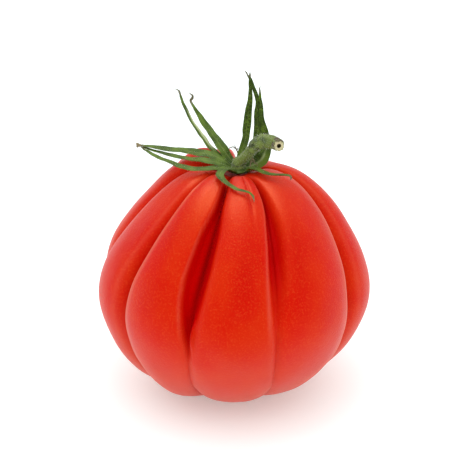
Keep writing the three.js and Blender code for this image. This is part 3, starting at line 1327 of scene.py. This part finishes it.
SEPALS = (
    Sepal(
        "left_upper", (0.1, -0.5, 1), (2.8, 3, 2.6, 1.8, 0.8),
        ((-0.8, 0.4, 1.7), (-3.6, 0.9, 3.9), (-7.8, 2, 5.4), (-12.2, 3, 5.8), (-18.6, 4, 6.2),
         (-25.2, 5, 6.8), (-31.6, 6, 7.6)),
        dry=0.94,
    ),
    Sepal(
        "left_middle", (0.1, -0.3, 1), (2.6, 2.6, 1.9, 1.5, 0.7),
        ((-0.9, -0.6, 1.7), (-3.4, -1.6, 3.3), (-6.6, -1.6, 4.3), (-9.8, -1.2, 4.7),
         (-14.3, 0, 4.8), (-18.6, 1.6, 5), (-23, 3.2, 5.5), (-27, 4.6, 6.2), (-31.2, 6, 7.2)),
        dry=0.94,
    ),
    Sepal(
        "left_lower", (-0.1, -0.4, 1), (2.6, 2.2, 1.8, 1.5, 0.7),
        ((-0.4, -1.6, 1.6), (-2.8, -3.8, 3), (-6, -6, 4.1), (-11, -7.6, 4.5), (-14.2, -7.6, 4.8),
         (-18.6, -5.4, 5.2), (-23, -1, 5.1), (-27.4, 3.2, 5.7), (-31, 5.8, 6.9)),
        dry=0.95,
    ),
    Sepal(
        "back_left_thin", (0.75, -0.45, 0.25), (2.6, 2.2, 2, 1.5, 0.6),
        ((-0.6, 1.2, 1.6), (-3.4, 2.6, 3.7), (-6, 4, 5.4), (-8.6, 5.4, 7.4), (-12.4, 8, 12.2),
         (-15.4, 10, 17), (-17.4, 12, 21.4), (-18.3, 13, 23.8), (-20.2, 13.5, 24.2)),
        curl=0.5, dry=0.9, pale=1.0,
    ),
    Sepal(
        "back_left_broad", (0.5, -0.8, 0.3), (3, 3.4, 2.9, 2.2, 1.1, 0.6),
        ((0.3, 1.8, 1.7), (-2, 3.4, 4.3), (-4.2, 5.2, 7), (-7.2, 8, 10.1), (-9.8, 10.5, 13),
         (-11.8, 12.2, 15.7), (-13.1, 13.5, 17.6), (-14.3, 15, 19.4), (-13.5, 15.7, 20.6),
         (-15, 16, 22)),
        dry=0.84,
    ),
    Sepal(
        "back_tall", (0.3, -1, 0.2), (2.4, 2.4, 2.8, 2.3, 1.2, 0.6),
        ((1.6, 2.2, 1.7), (2.2, 3.8, 4.6), (3, 5.4, 7), (3.7, 7.4, 9.4), (3.9, 8.8, 11.2),
         (4.4, 10, 13.8), (4.6, 11, 17.4), (5.1, 12, 21), (5.3, 12.7, 25.5), (5.3, 12.4, 31)),
        shade=1.0,
    ),
    Sepal(
        "right_tall", (-0.2, -1, 0.3), (2.8, 3.2, 2.6, 1.7, 1.2, 0.6),
        ((3.6, 1.2, 1.8), (6.2, 2.6, 5), (7.5, 3.9, 8.4), (7.8, 5.2, 11.8), (7.7, 6.5, 15.6),
         (7.6, 7.3, 18.8), (7.7, 8.1, 21.8), (6.9, 9, 24.8), (5.6, 9.6, 28.2), (3.3, 10, 32)),
        shade=1.0,
    ),
    Sepal(
        "right_broad", (-0.3, -1, 0.1), (3.4, 4.4, 3.2, 2, 1.1, 0.5),
        ((4.2, -0.3, 1.7), (7.2, -0.2, 3.2), (9.6, 0.4, 5.4), (10.5, 2, 8.4), (10.1, 4, 12),
         (9.3, 5.2, 16), (8.8, 6.3, 19.8), (8.5, 7.3, 24.2), (8.3, 7.8, 27.9)),
        # its root is painted lit on the right and in the stem's painted shadow on the left
        shade=1.0, lit_and_shaded_root=1.0,
    ),
    Sepal(
        "front_curl", (0, -0.3, 1), (2.8, 3.2, 2.6, 1.4, 1.1, 0.6),
        ((0.8, -2.2, 1.6), (-1.4, -4.8, 3.3), (-3.4, -8, 4.2), (-4.6, -11.4, 4), (-3.7, -14, 3.5),
         (-1.8, -16.2, 2.9), (0.4, -18.4, 2.4), (3, -19.6, 2.1), (5, -20.2, 1.6), (6, -21, 0.8),
         (6.2, -22.6, -0.5)),
    ),
    Sepal(
        "right_curl", (0, -0.1, 1), (2.8, 2.6, 1.7, 1.2, 0.7),
        ((3.6, -1.9, 1.7), (5.6, -3.8, 3.3), (7.2, -6.8, 4.1), (9.4, -9, 3.9), (12, -9.9, 3.7),
         (14.8, -10.2, 3.7), (17, -10.4, 3.7), (18.1, -10.8, 3.3), (17.9, -11.4, 2.3)),
    ),
)


@dataclass(frozen=True)
class Thread:
    """A dried thread: its radius, and the points that it passes, with heights above the hollow."""

    name: str
    radius: float
    route: tuple[Place, ...]


THREADS = (
    Thread(
        "upright", 0.22,
        ((1.6, 3.1, 2), (1.4, 5, 3.2), (1.2, 5.2, 4.7), (0.6, 5.6, 6.4), (0.2, 6, 7.7)),
    ),
    Thread("side", 0.17, ((0.7, 5.5, 6), (-0.2, 5.4, 6.9), (-1.3, 5.2, 6.8), (-1.7, 5.2, 6))),
    Thread("hook", 0.17, ((1.2, 5.2, 4.7), (1, 5, 5.9), (1.4, 4.8, 7))),
    Thread(
        "curl", 0.22,
        ((5.2, -3.5, 3.3), (5.3, -3.4, 4.6), (5.5, -3.4, 5.9), (5.9, -3.2, 6.4), (6.4, -3.2, 5.9),
         (6.6, -3.4, 5.1), (7.2, -3.6, 4.9), (7.7, -4, 4.1)),
    ),
    Thread("curl_end", 0.2, ((6.4, -3.2, 5.7), (5.5, -3.6, 5.4), (5.3, -3.8, 6.1))),
    Thread("knot", 0.5, ((-30.2, 5.9, 7.5), (-31.2, 6, 7.4), (-32, 6, 8))),
    Thread("knot_end", 0.4, ((-31.2, 6, 7.5), (-31.9, 6, 6.6))),
)


def raised(route: Sequence[Place]) -> list[Place]:
    """A route's points with their heights counted from the surface that the fruit rests on."""
    return [(x, y, HOLLOW + z) for x, y, z in route]


@dataclass
class Calyx:
    """The plate under the stem and the sepals that grow out of it.

    Attributes:
        centre: the middle of the plate.
        plate_radius: its radius.
        plate_lift: height of its middle above the hollow.
        plate_depths: how far it reaches down and up from there.
        plate_mesh: columns and rows of its faces.
        root_face: the way that every sepal faces at its root.
        root_share: share of its length in which a sepal turns to its own face.
        tip: shares of its length between which a blade narrows to its tip.
        thickness: of a blade, at its root and its tip.
        loose: shares of its length between which a blade comes free, and its tip settles.
        kinks: size and height of the bends in a blade.
        wrinkles: size of its wrinkles, and their height where it is green and dry.
        blade_mesh: columns and rows of a blade's faces.
        steps: places at which the masks know a blade.
    """

    centre: Pair = (1.6, -0.2)
    plate_radius: float = 3.9
    plate_lift: float = 1.7
    plate_depths: Pair = (1.15, 0.75)
    plate_mesh: tuple[int, int] = (48, 24)
    root_face: Place = (0, -0.2, 1)
    root_share: float = 0.3
    tip: Pair = (0.9, 1.0)
    thickness: Pair = (0.95, 0.45)
    loose: tuple[Pair, Pair] = ((0.08, 0.25), (0.92, 1))
    kinks: Pair = (3.6, 0.26)
    wrinkles: tuple[float, float, float] = (0.9, 0.05, 0.28)
    blade_mesh: tuple[int, int] = (24, 60)
    steps: int = 120

    def lay(
        self, blade: Sepal, share: np.ndarray
    ) -> tuple[np.ndarray, np.ndarray, np.ndarray, np.ndarray]:
        """Lays a sepal along its route.

        Args:
            blade: its sizes.
            share: shares of its length.

        Returns:
            Its middle, the ways across it and out of its inner face, and half its width.
        """
        centre, along = Route(raised(blade.route)).at(share)
        turn = ease(share, 0, self.root_share)[:, None]
        face = np.array(self.root_face) * (1 - turn) + np.array(blade.face) * turn
        side, out = frames(along, face)
        half = np.interp(share, np.linspace(0, 1, len(blade.widths)), blade.widths) / 2
        return centre, side, out, half

    def sepal(self, blade: Sepal, number: int) -> bpy.types.Object:
        """Makes one sepal.

        Args:
            blade: its sizes.
            number: its place in the list, which seeds its waves.

        Returns:
            A closed blade.
        """
        around, rings = self.blade_mesh
        piece, angle, row = ball("sepal_" + blade.name, around, rings)
        share = row / rings
        centre, side, out, half = self.lay(blade, share)
        ending = ease(share, *self.tip)
        half *= np.sqrt(1 - ending) + 0.02
        thick = np.interp(share, (0, 1), self.thickness) / 2
        thick *= 1 - 0.6 * ending
        u = np.sin(angle)
        w = np.cos(angle)
        # the blade thins towards its edges, and its rib stands out behind
        edge = 1 - 0.72 * np.abs(u) ** 1.5
        rib = bump(u, 0, 0.16)
        through = thick * w * edge + 0.22 * rib * np.where(w < 0, -thick, -0.6 * thick)
        # its edges fold up and wave
        free = window(share, *self.loose)
        wave = 0.13 * np.sin(share * 17 + number * 2.1 + np.sign(u)) * u**2
        fold = blade.curl * np.abs(u) ** 1.4
        through += (fold + wave) * half * free
        points = centre + side * (half * u)[:, None] + out * through[:, None]
        pole = (row == 0) | (row == rings)
        points[pole] = centre[pole]
        size, height = self.kinks
        points += height * free[:, None] * shake(centre, size, number, 9.0)
        size, green_height, dry_height = self.wrinkles
        dried = ease(share, blade.dry - 0.04, blade.dry + 0.02)
        points += (green_height * free + dry_height * dried)[:, None] * shake(points, size, number, 5.0)
        move_points(piece, points)
        face_outwards(piece)
        return piece

    def plate(self) -> bpy.types.Object:
        """Makes the plate: a low dome that sits in the hollow.

        Returns:
            The closed plate.
        """
        around, rings = self.plate_mesh
        piece, angle, row = ball("calyx_plate", around, rings)
        lift = -np.cos(row / rings * math.pi)
        radius = np.sin(row / rings * math.pi) * self.plate_radius
        radius *= 1 + 0.06 * np.cos(5 * angle + 0.6)
        x = self.centre[0] + radius * np.sin(angle)
        y = self.centre[1] - radius * np.cos(angle)
        z = HOLLOW + self.plate_lift + np.where(lift < 0, *self.plate_depths) * lift
        move_points(piece, np.stack([x, y, z], -1))
        face_outwards(piece)
        return piece

    def build(self) -> bpy.types.Object:
        """Grows the sepals and the plate into one body.

        Returns:
            The finished object, which stands for the CAD calyx.
        """
        plate = self.plate()
        blades = bpy.data.collections.new("sepals")
        bpy.context.scene.collection.children.link(blades)
        parts = [self.sepal(blade, number) for number, blade in enumerate(SEPALS)]
        for part in parts:
            blades.objects.link(part)
            bpy.context.scene.collection.objects.unlink(part)
        select_only(plate)
        union = plate.modifiers.new("grown_together", "BOOLEAN")
        union.operation = "UNION"
        union.operand_type = "COLLECTION"
        union.collection = blades
        union.solver = "EXACT"
        bpy.ops.object.modifier_apply(modifier=union.name)
        for part in parts:
            bpy.data.objects.remove(part)
        bpy.data.collections.remove(blades)
        put_in_order(plate)
        rename(plate, "calyx_leaves")
        self.paint_masks(plate)
        bpy.ops.object.shade_smooth()
        plate.data.materials.append(LeafFinish().build())
        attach(plate, BODY)
        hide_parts("calyx")
        return plate

    def paint_masks(self, piece: bpy.types.Object) -> None:
        """Stores where the ribs, the pale margins, the dry tips and the dark mottle are, and the
        painted light and painted shadow of the stem on the broad sepal's root.

        Args:
            piece: the grown calyx.
        """
        shares = np.linspace(0, 1, self.steps)
        laid = zip(*(self.lay(blade, shares) for blade in SEPALS))
        centres, sides, _, halves = (np.concatenate(part) for part in laid)
        tree = KDTree(len(centres))
        for index, place in enumerate(centres):
            tree.insert(place, index)
        tree.balance()
        places = [vertex.co / MM for vertex in piece.data.vertices]
        nearest = np.array([tree.find(place)[1] for place in places])
        offsets = np.array(places) - centres[nearest]
        across = np.sum(offsets * sides[nearest], axis=1) / halves[nearest]
        share = np.tile(shares, len(SEPALS))[nearest]
        blade = nearest // self.steps
        dry_from = values(SEPALS, "dry", blade)
        # painted light and shade: the broad sepal's root is painted lit on its right half and in the
        # stem's shadow on its left half
        root = values(SEPALS, "lit_and_shaded_root", blade) * (1 - ease(share, 0.22, 0.32))
        left = ease(-across, 0.05, 0.2)
        margin = values(SEPALS, "pale", blade) * window(share, (0.2, 0.35), (0.62, 0.78))
        shade = values(SEPALS, "shade", blade) * ease(share, 0.22, 0.36)
        paint(piece, "rib", bump(across, 0, 0.14) * (1 - 0.5 * share))
        paint(piece, "pale", margin * ease(across, 0, 0.35) + 0.7 * root * bump(across, -0.08, 0.09))
        paint(piece, "dry", ease(share, dry_from - 0.05, dry_from + 0.03))
        # the dark mottle, with the stem's painted shadow on the left half of the broad sepal's root
        paint(piece, "shade", shade + 0.8 * root * left)
        # painted light on the right half of the broad sepal's root
        paint(piece, "light", root * (1 - left))


@dataclass
class Withered:
    """The dried threads of blades that withered, and the knot at the tips on the left.

    Attributes:
        around: columns of a thread's faces.
        rings: rows of its faces.
        face: the way that its sections look.
        crumple: how far its surface is crumpled, as a share of its radius.
    """

    around: int = 10
    rings: int = 36
    face: Place = (0.2, -1.0, 0.1)
    crumple: float = 0.9

    def thread(self, item: Thread) -> bpy.types.Object:
        """Makes one thread.

        Args:
            item: its sizes.

        Returns:
            A closed thread with a crumpled surface.
        """
        piece, angle, row = ball("dried_" + item.name, self.around, self.rings)
        share = row / self.rings
        centre, along = Route(raised(item.route)).at(share)
        sides = frames(along, np.tile(self.face, (len(share), 1)))
        radius = item.radius * np.sin(math.pi * share) ** 0.35
        points = round_section(centre, sides, radius, angle)
        points += self.crumple * radius[:, None] * shake(points, 0.7, 1.0, 4.0)
        move_points(piece, points)
        face_outwards(piece)
        return piece

    def build(self) -> bpy.types.Object:
        """Makes all the threads as one object.

        Returns:
            The finished object.
        """
        pieces = [self.thread(item) for item in THREADS]
        threads = pieces[0]
        select_only(threads)
        for piece in pieces:
            piece.select_set(True)
        bpy.ops.object.join()
        rename(threads, "dried_threads")
        threads.data.materials.append(DRIED.build())
        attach(threads, BODY)
        return threads


@dataclass
class Stem:
    """The bent stub of stem with its knee and its hollow cut end.

    Attributes:
        route: the points that its middle passes, with heights above the hollow.
        radii: its radius at even steps from the calyx to the cut.
        cut_ring: radius of the hole in the cut end, as a share of the stem's.
        cut_depth: how deep the hole is.
        knee: middle and spread of the knee, as shares of the length.
        pinch: share of its radius that it loses towards the cut.
        skinned: shares of the mesh's rows over which its skin comes in and goes out.
        around: columns of its faces.
        rings: rows of its faces.
    """

    route: tuple[Place, ...] = (
        (1.4, -0.4, 2.1), (1.4, -0.45, 3.9), (3.1, -1.2, 5.7), (5.5, -2.3, 8.9), (7, -3, 11.2),
        (8.6, -3.5, 12.5), (10.4, -3.9, 12.8), (12.4, -4.3, 12.6), (13.8, -5.5, 12.5),
        (14.3, -7.4, 12.6),
    )
    radii: tuple[float, ...] = (2.2, 1.5, 1.45, 1.7, 2.15, 2.25, 2.1, 1.95)
    cut_ring: float = 0.4
    cut_depth: float = 1.6
    knee: Pair = (0.58, 0.2)
    pinch: float = 0.12
    skinned: tuple[Pair, Pair] = ((0.0, 0.02), (0.85, 0.88))
    around: int = 48
    rings: int = 120

    def shape(self, share: np.ndarray, angle: np.ndarray) -> tuple[np.ndarray, np.ndarray]:
        """Shapes the stem.

        The rows of its mesh run up its skin, over the ragged rim and down into the hole.

        Args:
            share: each point's row, as a share of all rows.
            angle: its angle round the stem.

        Returns:
            The points, and where along the route they lie.
        """
        route = Route(raised(self.route))
        sunk = 1 - self.cut_depth / route.length
        keys = (0, 0.02, 0.84, 0.86, 0.90, 0.92, 0.97, 1)
        place = np.interp(share, keys, (0, 0, 1, 1, 1, 0.995, sunk, sunk))
        widths = (0, 1, 1, 0.97, self.cut_ring + 0.03, self.cut_ring, 0.5, 0)
        width = np.interp(share, keys, widths)
        centre, along = route.at(place)
        sides = frames(along, np.tile((0.0, 0.0, 1.0), (len(place), 1)))
        radius = np.interp(place, np.linspace(0, 1, len(self.radii)), self.radii) * width
        knee = bump(place, *self.knee)
        skin = window(share, *self.skinned)
        ribs = 0.04 * np.cos(7 * angle + 2 * place) + 0.03 * np.cos(3 * angle - 3 * place)
        radius *= 1 + ribs * skin * (1 - 0.5 * knee) - self.pinch * ease(place, 0.88, 1)
        points = round_section(centre, sides, radius, angle)
        rim = ease(place, 0.94, 1.0) * (width > 0.8)
        spots = 2.0 * np.stack([np.sin(angle), np.cos(angle), 0 * angle], -1)
        ragged = 0.7 * speckle(spots, 0.8, 3.0) + 0.6 * speckle(spots, 0.35, 8.0)
        points += along * (ragged * rim)[:, None]
        lumps = (0.10 + 0.22 * knee) * skin
        points += lumps[:, None] * shake(points, 1.3, 0.0, 7.0)
        return points, place

    def build(self) -> bpy.types.Object:
        """Makes the stem.

        Returns:
            The finished object, which stands for the CAD stem.
        """
        piece, angle, row = ball("stem_stub", self.around, self.rings)
        share = row / self.rings
        points, place = self.shape(share, angle)
        move_points(piece, points)
        face_outwards(piece)
        paint(piece, "knee", np.clip(1.2 * bump(place, *self.knee), 0, 1))
        paint(piece, "cream", ease(share, 0.85, 0.87) * (share <= 0.905))
        # painted shade: the hole in the cut end is painted dark
        paint(piece, "hollow", ease(share, 0.90, 0.915))
        burnt = ease(0.5 * speckle(points, 1.1, 21.0) + place, 0.80, 0.98)
        paint(piece, "brown", burnt * ease(place, 0.84, 0.9) * (share < 0.855))
        piece.data.materials.append(StemFinish().build())
        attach(piece, BODY)
        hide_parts("stem")
        return piece


@dataclass
class Down:
    """Short hairs that stand on a piece.

    Attributes:
        name: the name of the hairs' piece.
        slot: the material slot of the piece that they stand on; not used.
        count: how many there are.
        length: the shortest and the longest.
        radius: of a hair at its foot.
        sunk: share of a hair's length that is under the surface.
        lean: how far hairs lean away from straight up.
        seed: of the random draw.
    """

    name: str
    slot: Slot
    count: int
    length: Pair
    radius: float = 0.04
    sunk: float = 0.1
    lean: float = 0.35
    seed: int = 3

    def build(self, carrier: bpy.types.Object, keep: Callable[[Vector], float]) -> bpy.types.Object:
        """Sets the hairs on a piece.

        Args:
            carrier: the piece that they stand on.
            keep: the chance that a hair grows at a place, in millimetres.

        Returns:
            One object with all the hairs.
        """
        draw = random.Random(self.seed)
        bpy.ops.object.select_all(action="DESELECT")
        bpy.ops.mesh.primitive_cone_add(vertices=3, radius1=1, radius2=0, depth=1, location=(0, 0, 0))
        piece = bpy.context.object
        model = [vertex.co.copy() for vertex in piece.data.vertices]
        faces = [tuple(face.vertices) for face in piece.data.polygons]
        carrier.data.calc_loop_triangles()
        # Turning the faces outwards leaves them in any order, so they are sorted for the draws.
        triangles = sorted(carrier.data.loop_triangles, key=lambda triangle: triangle.vertices[:])
        reach = np.cumsum([triangle.area for triangle in triangles])
        points = []
        polygons = []
        grown = 0
        while grown < self.count:
            index = int(np.searchsorted(reach, draw.random() * reach[-1]))
            triangle = triangles[min(index, len(triangles) - 1)]
            corners = [carrier.data.vertices[corner].co for corner in triangle.vertices]
            a, b = sorted((draw.random(), draw.random()))
            foot = corners[0] * a + corners[1] * (b - a) + corners[2] * (1 - b)
            if draw.random() > keep(foot / MM):
                continue
            lean = Vector([draw.gauss(0, self.lean) for _ in AXES])
            turn = (triangle.normal + lean).normalized().to_track_quat("Z", "Y")
            length = draw.uniform(*self.length)
            start = len(points)
            for corner in model:
                height = (corner.z + 0.5 - self.sunk) * length
                hair = Vector((corner.x * self.radius, corner.y * self.radius, height))
                points.append(foot + turn @ (hair * MM))
            polygons.extend(tuple(start + corner for corner in face) for face in faces)
            grown += 1
        give_mesh(piece, points, polygons)
        rename(piece, self.name)
        face_outwards(piece)
        piece.data.materials.append(DownFinish().build())
        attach(piece, BODY)
        return piece


@dataclass
class Studio:
    """The pale floor, the soft lights and the camera.

    Attributes:
        elevation: how far the camera looks down, in degrees.
        eye: where it stands, in metres.
        lens: its focal length, for a sensor of the width given by sensor, in millimetres.
        floor_size: how wide the floor is, in metres.
        floor_colour: its colour, and floor_glow the light that it gives.
        room: strength of the even light from all round.
        tent: strength of the soft light from above.
        tent_angle: how wide that light is, in degrees.
        tent_tilt: how far it leans forwards and to the side, in degrees.
        gleam: power of the light that only makes the gloss on top.
        gleam_place: where it hangs, in metres.
        gleam_size: how wide it is, in metres.
        gleam_aim: the point that it shines on.
    """

    elevation: float = 25.0
    eye: Place = (-0.00293, -0.53996, 0.30909)
    lens: float = 144.3
    sensor: float = 36
    floor_size: float = 6
    floor_colour: Colour = (0.84, 0.87, 0.87)
    floor_glow: Colour = (0.24, 0.30, 0.29)
    room: float = 1.0
    tent: float = 0.8
    tent_angle: float = 90
    tent_tilt: Pair = (-5, -4)
    gleam: float = 12.0
    gleam_place: Place = (-0.05, 0.05, 0.8)
    gleam_size: float = 0.5
    gleam_aim: Place = (0, 0, 0.07)

    def camera(self) -> None:
        """Sets up the camera at the photograph's viewing angle."""
        turn = (math.radians(90 - self.elevation), 0, 0)
        bpy.ops.object.camera_add(location=self.eye, rotation=turn)
        camera = bpy.context.object
        camera.data.lens = self.lens
        camera.data.sensor_width = self.sensor
        camera.data.clip_start = 0.01
        bpy.context.scene.camera = camera

    def floor(self) -> None:
        """Lays the plain pale floor."""
        bpy.ops.mesh.primitive_plane_add(size=self.floor_size, location=(0, 0, 0))
        floor = bpy.context.object
        floor.name = "floor"
        material, _, shader = new_finish("pale_floor")
        shader.inputs["Base Color"].default_value = (*self.floor_colour, 1)
        shader.inputs["Roughness"].default_value = 0.8
        shader.inputs["Emission Color"].default_value = (*self.floor_glow, 1)
        shader.inputs["Emission Strength"].default_value = 1.0
        floor.data.materials.append(material)

    def lights(self) -> None:
        """Hangs the soft lights."""
        world = bpy.data.worlds.new("studio")
        bpy.context.scene.world = world
        world.use_nodes = True
        background = world.node_tree.nodes["Background"]
        background.inputs["Color"].default_value = (1, 1, 1, 1)
        background.inputs["Strength"].default_value = self.room
        bpy.ops.object.light_add(type="SUN", location=(0, 0, 1))
        tent = bpy.context.object
        tent.name = "overhead_tent"
        tent.data.angle = math.radians(self.tent_angle)
        tent.data.energy = self.tent
        tent.rotation_euler = (*(math.radians(tilt) for tilt in self.tent_tilt), 0)
        bpy.ops.object.light_add(type="AREA", location=self.gleam_place)
        gleam = bpy.context.object
        gleam.name = "top_gleam"
        gleam.data.size = self.gleam_size
        gleam.data.energy = self.gleam
        gleam.visible_diffuse = False
        gleam.visible_camera = False
        aim = Vector(self.gleam_aim) - Vector(self.gleam_place)
        gleam.rotation_euler = aim.to_track_quat("-Z", "Y").to_euler()

    def build(self) -> None:
        """Sets up the whole studio, and shows its colours as they are."""
        self.camera()
        self.floor()
        self.lights()
        bpy.context.scene.view_settings.view_transform = "Standard"
        bpy.context.scene.view_settings.look = "None"


def report(piece: bpy.types.Object) -> bpy.types.Object:
    """Logs a finished piece and passes it on."""
    LOG.info("%s: %d vertices", piece.name, len(piece.data.vertices))
    return piece


def main() -> None:
    """Builds the studio and the tomato, piece by piece."""
    logging.basicConfig(level=logging.INFO, format="%(message)s")
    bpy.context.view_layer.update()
    Studio().build()
    report(Fruit().build())
    leaves = report(Calyx().build())
    report(Withered().build())
    stub = report(Stem().build())
    leaf_down = Down("calyx_down", Slot.SEPAL, 900, (0.25, 0.6), seed=5)
    report(leaf_down.build(leaves, lambda place: 0.6))
    stem_down = Down("stem_down", Slot.STEM, 1500, (0.3, 0.9), seed=9)
    report(stem_down.build(stub, lambda place: 1.0 if place.x < CUT_END else 0.15))


if __name__ == "__main__":
    main()
